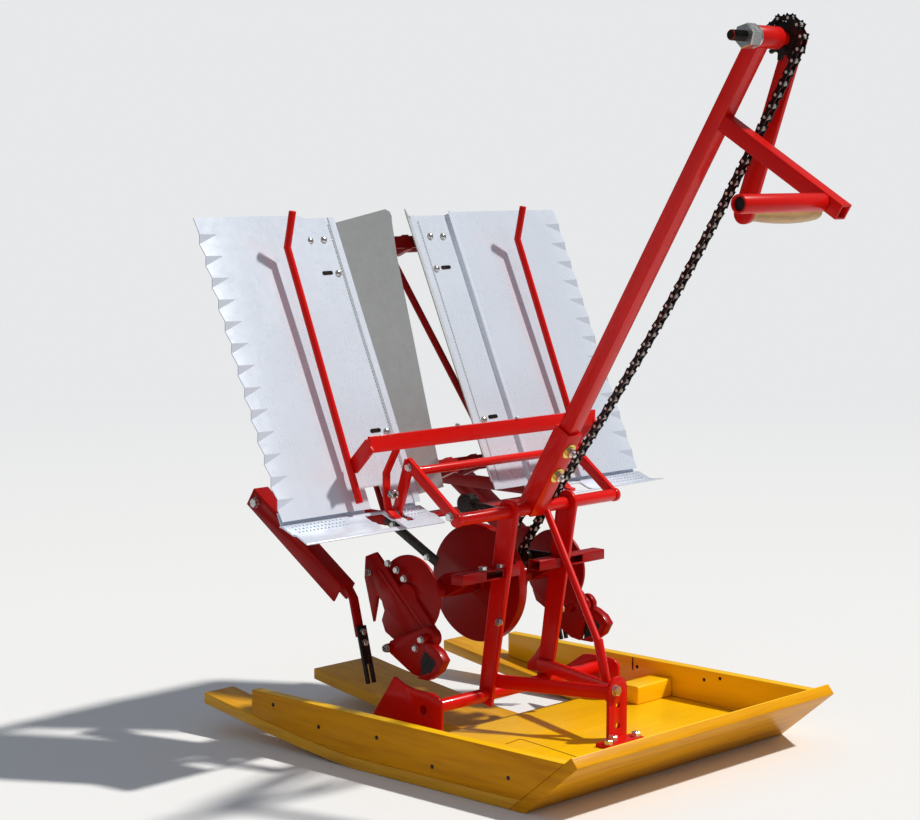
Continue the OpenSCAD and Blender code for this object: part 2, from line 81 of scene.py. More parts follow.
class Tree:
    """Short forms for making and linking shader nodes."""

    def __init__(self, tree):
        self.t = tree

    def node(self, kind, **settings):
        node = self.t.nodes.new(kind)
        for k, v in settings.items():
            setattr(node, k, v)
        return node

    def link(self, a, b):
        self.t.links.new(a, b)

    def math(self, op, a, b=None, clamp=False):
        """One step of arithmetic on sockets or plain numbers."""
        node = self.node("ShaderNodeMath", operation=op, use_clamp=clamp)
        for i, v in enumerate((a, b)):
            if v is None:
                continue
            if isinstance(v, (int, float)):
                node.inputs[i].default_value = v
            else:
                self.link(v, node.inputs[i])
        return node.outputs[0]

    def mix(self, fac, a, b):
        """Colour a where fac is 0, and b where it is 1."""
        node = self.node("ShaderNodeMix", data_type="RGBA")
        for sock, v in ((node.inputs["Factor"], fac), (node.inputs[6], a), (node.inputs[7], b)):
            if isinstance(v, (int, float)):
                sock.default_value = v
            elif isinstance(v, tuple):
                sock.default_value = v if len(v) == 4 else (*v, 1)
            else:
                self.link(v, sock)
        return node.outputs[2]

    def ramp(self, src, stops):
        """A grey ramp through stops of (place, brightness)."""
        node = self.node("ShaderNodeValToRGB")
        el = node.color_ramp.elements
        el[0].position, el[0].color = stops[0][0], (*[stops[0][1]] * 3, 1)
        el[1].position, el[1].color = stops[-1][0], (*[stops[-1][1]] * 3, 1)
        for p, v in stops[1:-1]:
            el.new(p).color = (v, v, v, 1)
        self.link(src, node.inputs[0])
        return node.outputs[0]

    def noise(self, vec, scale, detail=4.0, rough=0.55, dist=0.0):
        node = self.node("ShaderNodeTexNoise")
        node.inputs["Scale"].default_value = scale
        node.inputs["Detail"].default_value = detail
        node.inputs["Roughness"].default_value = rough
        node.inputs["Distortion"].default_value = dist
        self.link(vec, node.inputs["Vector"])
        return node.outputs["Fac"]


def group(name, ins, outs):
    """An empty shader group: the group, its tree, what it is given and what it gives back."""
    g = bpy.data.node_groups.new(name, "ShaderNodeTree")
    for nm, kind, default in ins:
        s = g.interface.new_socket(name=nm, in_out="INPUT", socket_type="NodeSocket" + kind)
        if default is not None:
            s.default_value = default
    for nm, kind in outs:
        g.interface.new_socket(name=nm, in_out="OUTPUT", socket_type="NodeSocket" + kind)
    t = Tree(g)
    return g, t, t.node("NodeGroupInput").outputs, t.node("NodeGroupOutput").inputs


FINISH_SOCKETS = [("Color", "Color"), ("Roughness", "Float"), ("Height", "Float")]


def painted_wood():
    """Grain showing through the paint, knots and rubbed places."""
    g, t, given, result = group("Painted Wood", [
        ("Vector", "Vector", None), ("Paint", "Color", (0.9, 0.5, 0.01, 1)),
        ("Deep", "Color", (0.5, 0.2, 0.005, 1)),
        ("Grain", "Float", 0.5), ("Knots", "Float", 0.6)], FINISH_SOCKETS)
    vec = given["Vector"]
    grain = t.noise(vec, 130.0, 6.0, 0.62, 0.25)
    fine = t.noise(vec, 620.0, 3.0, 0.6)
    broad = t.noise(vec, 22.0, 3.0, 0.5, 0.6)
    vor = t.node("ShaderNodeTexVoronoi", feature="F1")
    vor.inputs["Scale"].default_value = 10.5
    t.link(vec, vor.inputs["Vector"])
    knot = t.ramp(vor.outputs["Distance"], [(0.0, 1.0), (0.035, 0.9), (0.075, 0.0)])
    knot = t.math("MULTIPLY", knot, given["Knots"])
    g1 = t.ramp(grain, [(0.36, 0.0), (0.5, 0.35), (0.66, 1.0)])
    m = t.math("MULTIPLY", g1, given["Grain"])
    b1 = t.ramp(broad, [(0.42, 0.0), (0.72, 0.6)])
    m = t.math("ADD", m, t.math("MULTIPLY", b1, given["Grain"]), clamp=True)
    m = t.math("ADD", m, t.math("MULTIPLY", knot, 0.85), clamp=True)
    col = t.mix(m, given["Paint"], given["Deep"])
    col = t.mix(t.math("MULTIPLY", knot, 0.75), col, (0.10, 0.035, 0.006))
    t.link(col, result["Color"])
    t.link(t.math("ADD", t.math("MULTIPLY", fine, 0.22), 0.24), result["Roughness"])
    h = t.math("SUBTRACT", t.math("MULTIPLY", fine, 0.3), t.math("MULTIPLY", g1, 0.8))
    t.link(t.math("SUBTRACT", h, t.math("MULTIPLY", knot, 0.6)), result["Height"])
    return g


def enamel():
    """Sprayed enamel: faint orange peel, thin places and chips."""
    g, t, given, result = group("Enamel", [
        ("Paint", "Color", (0.6, 0.01, 0.01, 1)), ("Shade", "Color", (0.3, 0.006, 0.006, 1)),
        ("Chips", "Float", 0.3)], FINISH_SOCKETS)
    vec = t.node("ShaderNodeTexCoord").outputs["Object"]
    big = t.noise(vec, 14.0, 4.0, 0.6)
    peel = t.noise(vec, 900.0, 2.0, 0.5)
    spots = t.noise(vec, 160.0, 5.0, 0.7)
    thin = t.ramp(big, [(0.35, 0.0), (0.75, 0.55)])
    chip = t.math("MULTIPLY", t.ramp(spots, [(0.725, 0.0), (0.745, 1.0)]), given["Chips"])
    col = t.mix(chip, t.mix(thin, given["Paint"], given["Shade"]), (0.09, 0.035, 0.025))
    t.link(col, result["Color"])
    rough = t.math("ADD", t.math("MULTIPLY", big, 0.16), t.math("MULTIPLY", chip, 0.4))
    t.link(t.math("ADD", rough, 0.24), result["Roughness"])
    t.link(t.math("SUBTRACT", t.math("MULTIPLY", peel, 0.25), chip), result["Height"])
    return g


def galvanised():
    """Galvanised sheet: spangle, drawn streaks and smudges."""
    g, t, given, result = group("Galvanised", [
        ("Bright", "Color", (0.74, 0.79, 0.86, 1)), ("Dull", "Color", (0.50, 0.53, 0.57, 1)),
        ("Spangle", "Float", 0.3), ("Smudge", "Float", 0.3)], FINISH_SOCKETS)
    vec = t.node("ShaderNodeTexCoord").outputs["Object"]
    vor = t.node("ShaderNodeTexVoronoi", feature="F1")
    vor.inputs["Scale"].default_value = 120.0
    t.link(vec, vor.inputs["Vector"])
    grey = t.node("ShaderNodeRGBToBW")
    t.link(vor.outputs["Color"], grey.inputs[0])
    drawn = t.node("ShaderNodeMapping")
    drawn.inputs["Scale"].default_value = (1.0, 0.12, 0.12)
    t.link(vec, drawn.inputs["Vector"])
    streak = t.noise(drawn.outputs[0], 240.0, 5.0, 0.6)
    cloud = t.noise(vec, 9.0, 4.0, 0.6, 0.4)
    m = t.math("MULTIPLY", grey.outputs[0], given["Spangle"])
    smudges = t.math("MULTIPLY", t.ramp(cloud, [(0.35, 0.0), (0.7, 1.0)]), given["Smudge"])
    streaks = t.math("MULTIPLY", t.ramp(streak, [(0.45, 0.0), (0.75, 0.5)]), given["Spangle"])
    m = t.math("ADD", m, smudges, clamp=True)
    m = t.math("ADD", m, streaks, clamp=True)
    t.link(t.mix(m, given["Bright"], given["Dull"]), result["Color"])
    t.link(t.math("ADD", t.math("MULTIPLY", m, 0.30), 0.24), result["Roughness"])
    height = t.math("ADD", t.math("MULTIPLY", streak, 0.4), t.math("MULTIPLY", grey.outputs[0], 0.3))
    t.link(height, result["Height"])
    return g


def oiled_steel():
    """Bare or blackened steel with oil and grit."""
    g, t, given, result = group("Oiled Steel", [
        ("Metal", "Color", (0.05, 0.045, 0.04, 1)), ("Grime", "Color", (0.12, 0.06, 0.03, 1)),
        ("Amount", "Float", 0.5)], FINISH_SOCKETS)
    vec = t.node("ShaderNodeTexCoord").outputs["Object"]
    n1 = t.noise(vec, 90.0, 5.0, 0.65)
    n2 = t.noise(vec, 700.0, 3.0, 0.6)
    m = t.math("MULTIPLY", t.ramp(n1, [(0.42, 0.0), (0.62, 1.0)]), given["Amount"])
    t.link(t.mix(m, given["Metal"], given["Grime"]), result["Color"])
    t.link(t.math("ADD", t.math("MULTIPLY", m, 0.35), t.math("MULTIPLY", n2, 0.3)), result["Roughness"])
    t.link(n2, result["Height"])
    return g


WOOD, ENAMEL, ZINC, OILED = painted_wood(), enamel(), galvanised(), oiled_steel()
BUMP_DISTANCE = 0.0006     # m
COAT_ROUGHNESS = 0.08


def material(name, g, values, metallic=0.0, bump=0.3, coat=0.0, scale=None, spec=0.5):
    """A Principled material fed by one of the groups; scale stretches the grain."""
    mat = bpy.data.materials.new(name)
    mat.use_nodes = True
    mat.node_tree.nodes.clear()
    t = Tree(mat.node_tree)
    out = t.node("ShaderNodeOutputMaterial")
    surface = t.node("ShaderNodeBsdfPrincipled")
    surface.inputs["Metallic"].default_value = metallic
    surface.inputs["Coat Weight"].default_value = coat
    surface.inputs["Specular IOR Level"].default_value = spec
    surface.inputs["Coat Roughness"].default_value = COAT_ROUGHNESS
    t.link(surface.outputs[0], out.inputs["Surface"])
    finish = t.node("ShaderNodeGroup", node_tree=g)
    for k, v in values.items():
        finish.inputs[k].default_value = (*v, 1) if isinstance(v, tuple) and len(v) == 3 else v
    if scale:
        stretch = t.node("ShaderNodeMapping")
        stretch.inputs["Scale"].default_value = scale
        t.link(t.node("ShaderNodeTexCoord").outputs["Object"], stretch.inputs["Vector"])
        t.link(stretch.outputs[0], finish.inputs["Vector"])
    relief = t.node("ShaderNodeBump")
    relief.inputs["Strength"].default_value = bump
    relief.inputs["Distance"].default_value = BUMP_DISTANCE
    t.link(finish.outputs["Height"], relief.inputs["Height"])
    t.link(finish.outputs["Color"], surface.inputs["Base Color"])
    t.link(finish.outputs["Roughness"], surface.inputs["Roughness"])
    t.link(relief.outputs[0], surface.inputs["Normal"])
    return mat


def wood(name, paint, deep, grain, knots, **look):
    return material(name, WOOD, {"Paint": paint, "Deep": deep, "Grain": grain, "Knots": knots}, **look)


def paint_coat(name, paint, shade, chips, **look):
    return material(name, ENAMEL, {"Paint": paint, "Shade": shade, "Chips": chips}, **look)


def zinc_sheet(name, bright, dull, spangle, smudge, **look):
    values = {"Bright": bright, "Dull": dull, "Spangle": spangle, "Smudge": smudge}
    return material(name, ZINC, values, metallic=0.35, **look)


def steel(name, metal, grime, amount, **look):
    return material(name, OILED, {"Metal": metal, "Grime": grime, "Amount": amount}, **look)


# Finishes by short names; the scale of a wood runs its grain along Y or along X
YELLOW, YELLOW_DEEP = (1.0, 0.58, 0.002), (0.74, 0.31, 0.001)
FINISHES = {
    "wood_y": wood("wood_along", YELLOW, YELLOW_DEEP, 0.20, 0.10,
                   scale=(1, 0.10, 1), coat=0.22, bump=0.16, spec=0.3),
    "wood_x": wood("wood_across", YELLOW, YELLOW_DEEP, 0.22, 0.12,
                   scale=(0.10, 1, 1), coat=0.22, bump=0.16, spec=0.3),
    # the two darker woods are painted shade: the yellow paint as it looks on faces turned from the sun
    "shade_wood_y": wood("wood_side", (0.66, 0.27, 0.002), (0.36, 0.11, 0.001), 0.42, 0.25,
                   scale=(1, 0.07, 1), bump=0.2, spec=0.08),
    "shade_wood_x": wood("wood_bow_painted_shade", (0.72, 0.32, 0.002), (0.42, 0.14, 0.001), 0.42, 0.3,
                   scale=(0.07, 1, 1), bump=0.2, spec=0.08),
    "crack": wood("wood_crack", (0.10, 0.03, 0.003), (0.05, 0.015, 0.002), 0.5, 0.0,
                  scale=(1, 1, 1), bump=0.0, spec=0.1),
    "plank": wood("wood_plank", (0.74, 0.36, 0.008), (0.42, 0.15, 0.004), 0.45, 0.35,
                  scale=(1, 0.08, 1), coat=0.1, spec=0.3),
    "red": paint_coat("enamel_red", (0.66, 0.006, 0.003), (0.50, 0.003, 0.002), 0.2,
                      coat=0.16, bump=0.10, spec=0.15),
    # the darker red is painted shade for the parts that sit in shadow under the trays; its chips are wear
    "dark": paint_coat("enamel_red_painted_shade", (0.34, 0.003, 0.002), (0.17, 0.002, 0.002), 0.45,
                       coat=0.06, bump=0.16, spec=0.12),
    # the tray's blue-white is the zinc's pale tone with a painted reflection of the sky
    "zinc": zinc_sheet("galvanised_tray", (0.76, 0.82, 0.92), (0.64, 0.69, 0.77), 0.14, 0.18, bump=0.06),
    # the grey wall sheet is the galvanised sheet darkened as painted shade, with smudges
    "zinc_wall": zinc_sheet("galvanised_painted_shade", (0.62, 0.63, 0.61), (0.46, 0.47, 0.45), 0.4, 0.5, bump=0.2),
    "black": steel("oiled_black", (0.010, 0.009, 0.009), (0.045, 0.022, 0.012), 0.4, metallic=0.2, spec=0.25),
    "bolt": steel("zinc_bolt", (0.74, 0.74, 0.73), (0.42, 0.36, 0.27), 0.35, metallic=0.9, bump=0.15),
    "brass": steel("yellow_zinc", (0.86, 0.62, 0.10), (0.50, 0.32, 0.05), 0.3, metallic=0.8, bump=0.15),
    "tan": wood("turned_wood", (0.66, 0.40, 0.13), (0.36, 0.17, 0.04), 0.7, 0.0,
                scale=(0.12, 1, 1), coat=0.25),
}


PIN_HEAD = 0.016     # square of a pin head's radius, in chain pitches


def chain_material():
    """Blackened plates with bright pin heads at both ends of the outer plates."""
    mat = steel("chain", (0.012, 0.010, 0.010), (0.035, 0.018, 0.010), 0.4,
                metallic=0.2, bump=0.25, spec=0.25)
    t = Tree(mat.node_tree)
    colour = mat.node_tree.nodes["Principled BSDF"].inputs["Base Color"]
    place = t.node("ShaderNodeSeparateXYZ")
    t.link(t.node("ShaderNodeUVMap", uv_map="link").outputs[0], place.inputs[0])
    along, across = place.outputs[0], place.outputs[1]
    u = t.math("SUBTRACT", 0.5, t.math("ABSOLUTE", t.math("SUBTRACT", along, 0.5)))
    square = t.math("ADD", t.math("MULTIPLY", u, u), t.math("MULTIPLY", across, across))
    pin = t.math("LESS_THAN", square, PIN_HEAD)
    t.link(t.mix(pin, colour.links[0].from_socket, (0.62, 0.56, 0.50)), colour)
    return mat


FINISHES["chain"] = chain_material()


# Mesh helpers
def finish_mesh(ob, angle=35):
    """Smooth faces, with sharp edges past an angle in degrees."""
    for p in ob.data.polygons:
        p.use_smooth = True
    ob.data.set_sharp_from_angle(angle=math.radians(angle))


def bevel(width, segments=2):
    """Settings of a bevel, its width in mm, on edges of more than 30 degrees."""
    return "BEVEL", dict(width=width * MM, segments=segments, limit_method="ANGLE",
                         angle_limit=math.radians(30))


def piece(name, bm, mats, body, reps=(), angle=35, mods=()):
    """Turns a bmesh in metres into a finished piece that rides on a body."""
    me = bpy.data.meshes.new(name)
    bm.to_mesh(me)
    bm.free()
    ob = bpy.data.objects.new(name, me)
    bpy.context.scene.collection.objects.link(ob)
    for mname in ([mats] if isinstance(mats, str) else mats):
        me.materials.append(FINISHES[mname])
    for kind, kw in mods:
        md = ob.modifiers.new(kind.lower(), kind)
        for k, v in kw.items():
            setattr(md, k, v)
    if mods:
        bake(ob)
    finish_mesh(ob, angle)
    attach(ob, body)
    if reps:
        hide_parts(*reps)
    return ob


def bake(ob):
    """Replaces an object's mesh by its evaluated mesh and drops the modifiers."""
    dg = bpy.context.evaluated_depsgraph_get()
    me = bpy.data.meshes.new_from_object(ob.evaluated_get(dg))
    ob.modifiers.clear()
    old = ob.data
    ob.data = me
    bpy.data.meshes.remove(old)


def dress(node, mat, width=0.9, seg=2, upright=None, across=None):
    """A CAD node's shape with eased edges, in place of the node.

    upright is the material of its steep faces, across that of the faces towards -X and +X; the darker woods
    given there are painted shade.
    """
    bm = bmesh.new()
    bm.from_mesh(NODES[node].data)
    bmesh.ops.remove_doubles(bm, verts=bm.verts, dist=1e-6)
    bmesh.ops.dissolve_limit(bm, angle_limit=math.radians(0.6), verts=bm.verts, edges=bm.edges)
    ob = piece(node + "_eased", bm, [mat, upright, across] if upright else mat, BODY[node], [node],
               mods=[bevel(width, seg)])
    if upright:
        for f in ob.data.polygons:
            f.material_index = 2 if abs(f.normal.x) > 0.6 else int(abs(f.normal.z) < 0.8)


def turns(n):
    """The n angles of a round."""
    return [2 * math.pi * k / n for k in range(n)]


def ring(bm, c, axis, prof, n=32, close=False):
    """A body of revolution about axis through c; prof lists (distance along axis, radius)."""
    axis = Vector(axis).normalized()
    u = axis.orthogonal().normalized()
    v = axis.cross(u)
    spokes = [u * math.cos(th) + v * math.sin(th) for th in turns(n)]
    rows = []
    for a, r in prof:
        if r < 1e-9:
            rows.append([bm.verts.new(c + axis * a)])
        else:
            rows.append([bm.verts.new(c + axis * a + spoke * r) for spoke in spokes])
    pairs = list(zip(rows, rows[1:])) + ([(rows[-1], rows[0])] if close else [])
    for a, b in pairs:
        for k in range(n):
            k2 = (k + 1) % n
            if len(a) == 1:
                bm.faces.new((a[0], b[k2], b[k]))
            elif len(b) == 1:
                bm.faces.new((a[k], a[k2], b[0]))
            else:
                bm.faces.new((a[k], a[k2], b[k2], b[k]))


def mm_rows(rows):
    """Rows of (place along an axis, radius) in mm, as metres."""
    return [(a * MM, r * MM) for a, r in rows]


def prism(bm, outline, v):
    """A straight body from a closed outline of points along v, with its faces outwards."""
    area = Vector()
    for p, q in zip(outline, outline[1:] + outline[:1]):
        area += p.cross(q)
    if area.dot(v) < 0:
        outline = outline[::-1]
    a = [bm.verts.new(p) for p in outline]
    b = [bm.verts.new(p + v) for p in outline]
    n = len(outline)
    faces = [bm.faces.new(a[::-1]), bm.faces.new(b)]
    for i in range(n):
        j = (i + 1) % n
        faces.append(bm.faces.new((a[i], a[j], b[j], b[i])))
    return faces


def bar_outline(a, b, half):
    """The corners of a straight bar from a to b in a plane, half its width on each side."""
    d = (b - a).normalized()
    m = Vector((-d.y, d.x)) * half
    return a + m, b + m, b - m, a - m


def sweep(bm, pts, r, n=12):
    """A round rod along points, with flat ends."""
    rows = []
    for i, p in enumerate(pts):
        d = (pts[min(i + 1, len(pts) - 1)] - pts[max(i - 1, 0)]).normalized()
        u = d.cross(Vector((0.13, 0.2, 1)).normalized())
        if u.length < 0.05:
            u = d.orthogonal()
        u.normalize()
        w = d.cross(u)
        rows.append([bm.verts.new(p + (u * math.cos(th) + w * math.sin(th)) * r) for th in turns(n)])
    for a, b in zip(rows, rows[1:]):
        for k in range(n):
            bm.faces.new((a[k], a[(k + 1) % n], b[(k + 1) % n], b[k]))
    bm.faces.new(rows[0][::-1])
    bm.faces.new(rows[-1])


# Scattering of small parts
def scatter_tree():
    """Geometry Nodes that put a part at each point, turned by "turn" and scaled by "size"."""
    g = bpy.data.node_groups.new("Scatter Parts", "GeometryNodeTree")
    g.interface.new_socket(name="Geometry", in_out="INPUT", socket_type="NodeSocketGeometry")
    g.interface.new_socket(name="Part", in_out="INPUT", socket_type="NodeSocketObject")
    g.interface.new_socket(name="Material", in_out="INPUT", socket_type="NodeSocketMaterial")
    g.interface.new_socket(name="Geometry", in_out="OUTPUT", socket_type="NodeSocketGeometry")
    t = Tree(g)
    given, result = t.node("NodeGroupInput").outputs, t.node("NodeGroupOutput").inputs
    info = t.node("GeometryNodeObjectInfo")
    t.link(given["Part"], info.inputs["Object"])
    rot = t.node("GeometryNodeInputNamedAttribute", data_type="FLOAT_VECTOR")
    rot.inputs["Name"].default_value = "turn"
    scl = t.node("GeometryNodeInputNamedAttribute", data_type="FLOAT")
    scl.inputs["Name"].default_value = "size"
    pts = t.node("GeometryNodeMeshToPoints")
    inst = t.node("GeometryNodeInstanceOnPoints")
    t.link(given["Geometry"], pts.inputs["Mesh"])
    t.link(pts.outputs[0], inst.inputs["Points"])
    t.link(info.outputs["Geometry"], inst.inputs["Instance"])
    t.link(rot.outputs["Attribute"], inst.inputs["Rotation"])
    t.link(scl.outputs["Attribute"], inst.inputs["Scale"])
    real = t.node("GeometryNodeRealizeInstances")
    t.link(inst.outputs[0], real.inputs[0])
    sm = t.node("GeometryNodeSetMaterial")
    t.link(real.outputs[0], sm.inputs["Geometry"])
    t.link(given["Material"], sm.inputs["Material"])
    t.link(sm.outputs[0], result[0])
    return g


SCATTER = scatter_tree()


def scatter(name, body, proto, mat, rows):
    """Copies of proto (its axis is +Z) at rows of (point, direction, size), merged in one piece."""
    me = bpy.data.meshes.new(name)
    me.from_pydata([tuple(r[0]) for r in rows], [], [])
    me.attributes.new("turn", "FLOAT_VECTOR", "POINT")
    me.attributes.new("size", "FLOAT", "POINT")
    for i, (p, d, s) in enumerate(rows):
        me.attributes["turn"].data[i].vector = Vector(d).to_track_quat("Z", "Y").to_euler()
        me.attributes["size"].data[i].value = s
    ob = bpy.data.objects.new(name, me)
    bpy.context.scene.collection.objects.link(ob)
    md = ob.modifiers.new("parts", "NODES")
    md.node_group = SCATTER
    ids = {s.name: s.identifier for s in SCATTER.interface.items_tree if s.in_out == "INPUT"}
    md[ids["Part"]] = proto
    md[ids["Material"]] = FINISHES[mat]
    bake(ob)
    # the mesh comes back with an empty first slot
    while ob.data.materials and ob.data.materials[0] is None:
        ob.data.materials.pop(index=0)
    finish_mesh(ob)
    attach(ob, body)


def proto(name, build):
    """A small part to scatter, standing on the origin; it isn't in the scene itself."""
    bm = bmesh.new()
    build(bm)
    me = bpy.data.meshes.new(name)
    bm.to_mesh(me)
    bm.free()
    return bpy.data.objects.new(name, me)


HEX_CHAMFER = 0.8


def hexes(bm, af, z0, z1):
    """A hexagonal head of width af over flats from z0 to z1, with a chamfered top."""
    r = af / 2 / math.cos(math.pi / 6)
    rounds(bm, [(z0, 0), (z0, r), (z1 - HEX_CHAMFER, r), (z1, r - HEX_CHAMFER * 1.3), (z1, 0)], 6)


def rounds(bm, rows, n=16):
    """A body of revolution about Z from rows of (height, radius) in mm."""
    ring(bm, Vector(), Z, mm_rows(rows), n=n)


WASHER_ROWS = [(0, 0), (0, 8), (1.4, 8), (1.4, 0)]
P_BOLT = proto("p_bolt", lambda bm: (hexes(bm, 13, 1.4, 7), rounds(bm, WASHER_ROWS)))
P_NUT = proto("p_nut", lambda bm: (hexes(bm, 13, 1.4, 7.5), rounds(bm, WASHER_ROWS),
                                   rounds(bm, [(6, 0), (6, 3.6), (12, 3.6), (12.8, 2.8), (12.8, 0)], 12)))
P_WASHER = proto("p_washer", lambda bm: rounds(bm, [(0, 0), (0, 12), (1.8, 12), (1.8, 0)], 24))
P_RIVET = proto("p_rivet", lambda bm: rounds(bm, [(0, 0), (0, 4), (1.2, 3.6), (2.2, 2.4), (2.6, 0)], 10))
P_NAIL = proto("p_nail", lambda bm: rounds(bm, [(-1, 0), (-1, 2.6), (0.35, 2.6), (0.6, 1.8), (0.6, 0)], 10))
P_DOT = proto("p_dot", lambda bm: rounds(bm, [(-0.3, 0), (-0.3, 2.0), (0.9, 1.3), (0.9, 0)], 6))

# Solids that keep their CAD shape and get eased edges
# parts in the darker red carry painted shade
DRESS = [
    # node, material, edge in mm
    ("lower_tube", "red", 0.5), ("foot_bracket_left", "red", 1.2), ("foot_bracket_right", "red", 1.2),
    ("post_left", "red", 1.4), ("post_right", "red", 1.4), ("yoke", "red", 1.4), ("depth_plate", "red", 1.0),
    ("brace_rod", "red", 0.5), ("crossbar_left", "dark", 0.8), ("crossbar_right", "dark", 0.8),
    ("upper_tube", "red", 0.6), ("rear_tube", "red", 0.8), ("side_frame_left", "red", 1.6),
    ("side_frame_right", "red", 1.6), ("gate_plate_left", "red", 0.7), ("gate_plate_right", "red", 0.7),
    ("press_bar", "red", 1.2), ("press_rod_left", "red", 1.0), ("press_rod_right", "red", 1.0),
    ("mast_sleeve", "red", 1.2), ("mast", "red", 1.6), ("hand_grip", "red", 1.4),
    ("shaft_housing_left", "dark", 0.8), ("shaft_housing_right", "dark", 0.8), ("sill_beam", "dark", 0.8),
    ("tray_stand", "dark", 0.8), ("idler", "black", 0.6), ("crank", "red", 1.2), ("main_shaft", "dark", 1.0),
    ("drum", "dark", 1.2), ("arm_left", "dark", 1.2), ("arm_right", "dark", 1.2),
    ("claw_lever_left", "dark", 0.9), ("claw_lever_right", "dark", 0.9), ("claw_left", "black", 0.8),
    ("claw_right", "black", 0.8), ("upper_chain_wheel", "black", 0.6), ("lower_chain_wheel", "black", 0.6),
    ("tray_carriage", "dark", 0.8),
    ("runner_left", "plank", 2.0), ("runner_centre", "plank", 2.0), ("runner_right", "plank", 2.0),
    ("cross_batten", "wood_x", 2.2), ("deck", "wood_x", 1.5),
    ("sill_left", "zinc", 0.5), ("sill_right", "zinc", 0.5),
]
for node, mat, width in DRESS:
    dress(node, mat, width, 2 if width < 2 else 3)
# the boards' steep and side faces take the darker woods: painted shade
for node, mat, upright, across in (("side_board_left", "wood_y", "shade_wood_y", "shade_wood_y"),
                                   ("side_board_right", "wood_y", "shade_wood_y", "wood_y"),
                                   ("bow_board", "wood_x", "shade_wood_x", "shade_wood_y")):
    dress(node, mat, 1.6, 3, upright=upright, across=across)

# Trays
TRAY_FOOT = (123, 337)                 # y and z of the foot line
TRAY_SLOPE = math.radians(66.2)
TRAY_L = 411
TRAY_OUTER = 358.0                     # x of the outer edge
DARTS, DART_WIDTH, DART_LENGTH = 13, 30.0, 12.5
SHEET_T = 1.3
FLAT_H, GROOVE_H = 2.6, 1.2            # heights of the sheet's face over the CAD sheet's underside
WALL_FLARE = math.radians(39.6)
TRAY_FOLDS = {                         # folds beside the wall: (x from the wall's foot, height)
    "left": [(55.5, GROOVE_H), (57, FLAT_H), (66, FLAT_H), (94, FLAT_H)],
    "right": [(73, GROOVE_H), (76, 7.2), (80, 7.2), (87, FLAT_H)],
}


def on_tray(x, a, n):
    """A point of a tray: x across, a up the slope, n out of the sheet towards the bow."""
    c, s = math.cos(TRAY_SLOPE), math.sin(TRAY_SLOPE)
    return at(x, TRAY_FOOT[0] + a * c - n * s, TRAY_FOOT[1] + a * s + n * c)


SHEET_UP = on_tray(0, 0, 1) - on_tray(0, 0, 0)


def tray_sheet(side, sgn, base):
    """Sheet with darts in its outer edge, a raised middle, a flared inner wall and a notch at its foot."""
    bm = bmesh.new()
    pitch = (TRAY_L - 14) / DARTS
    # crossings of the sheet: (place up the slope, kind); kind 1 opens a dart and 2 closes it
    slopes = [(-5.0, 0)]
    for i in range(DARTS):
        a = 12 + i * pitch
        slopes += [(a, 1), (a + DART_LENGTH, 2)]
    slopes = [q for q in slopes if q[0] < TRAY_L - 2] + [(TRAY_L, 0)]
    # lines up the slope: (x, height)
    dart_x = TRAY_OUTER - DART_WIDTH
    xs = [(base, FLAT_H), (base + 11, FLAT_H), (base + 12.4, GROOVE_H)]
    xs += [(base + x, n) for x, n in TRAY_FOLDS[side]]
    xs += [(base + 130, 3.4), (dart_x - 26, 3.2), (dart_x, FLAT_H), (TRAY_OUTER, FLAT_H)]
    last = len(xs) - 1
    rows = []
    for a, kind in slopes:
        row = []
        for j, (x, n) in enumerate(xs):
            xx, nn, aa = x, n, a
            if j == last:
                xx += (-0.3, 0.7, -1.0)[kind]
                nn = (2.4, 0.9, 4.6)[kind]
            if j == last - 1 and kind == 1:
                aa += 11.5
            # hand-bent sheet is never quite flat
            nn += 0.5 * noise.noise(Vector((xx * 0.011, a * 0.009, 3.1 * sgn)))
            row.append(bm.verts.new(on_tray(sgn * xx, aa + (4 if j > 4 and a > 400 else 0), nn)))
        rows.append(row)
    for r0, r1, (a1, kind) in zip(rows, rows[1:], slopes[1:]):
        for j in range(last):
            # the notch over the picking hole
            if side == "left" and j == 5 and a1 < 40:
                continue
            vs = (r0[j], r0[j + 1], r1[j + 1], r1[j])
            bm.faces.new(vs if sgn > 0 else vs[::-1])
    # the flared inner wall is rounded at its upper corner: (height, place up the slope)
    edge = [(36, 5), (41, 60), (50, 150), (59, 240), (68, 330), (76, TRAY_L - 28), (78, TRAY_L - 20),
            (77, TRAY_L - 13), (72, TRAY_L - 8)]
    wall = []
    for h, a in edge:
        hx = h * math.cos(WALL_FLARE)
        hn = h * math.sin(WALL_FLARE)
        wall.append([bm.verts.new(on_tray(sgn * (base - hx * k), a, FLAT_H + hn * k))
                     for k in (0, 0.03, 0.97, 1)])
    # the wall takes the grey sheet of painted shade
    for p, q in zip(wall, wall[1:]):
        for k in range(3):
            vs = (p[k], q[k], q[k + 1], p[k + 1])
            bm.faces.new(vs if sgn > 0 else vs[::-1]).material_index = 1
    bmesh.ops.recalc_face_normals(bm, faces=bm.faces)
    for f in bm.faces:
        if f.normal.dot(SHEET_UP) < 0:
            f.normal_flip()
    piece("tray_%s_sheet" % side, bm, ["zinc", "zinc_wall"], "tray_carriage", ["tray_" + side], angle=16,
          mods=[("SOLIDIFY", dict(thickness=SHEET_T * MM, offset=-1.0, use_even_offset=True,
                                  use_quality_normals=True))])


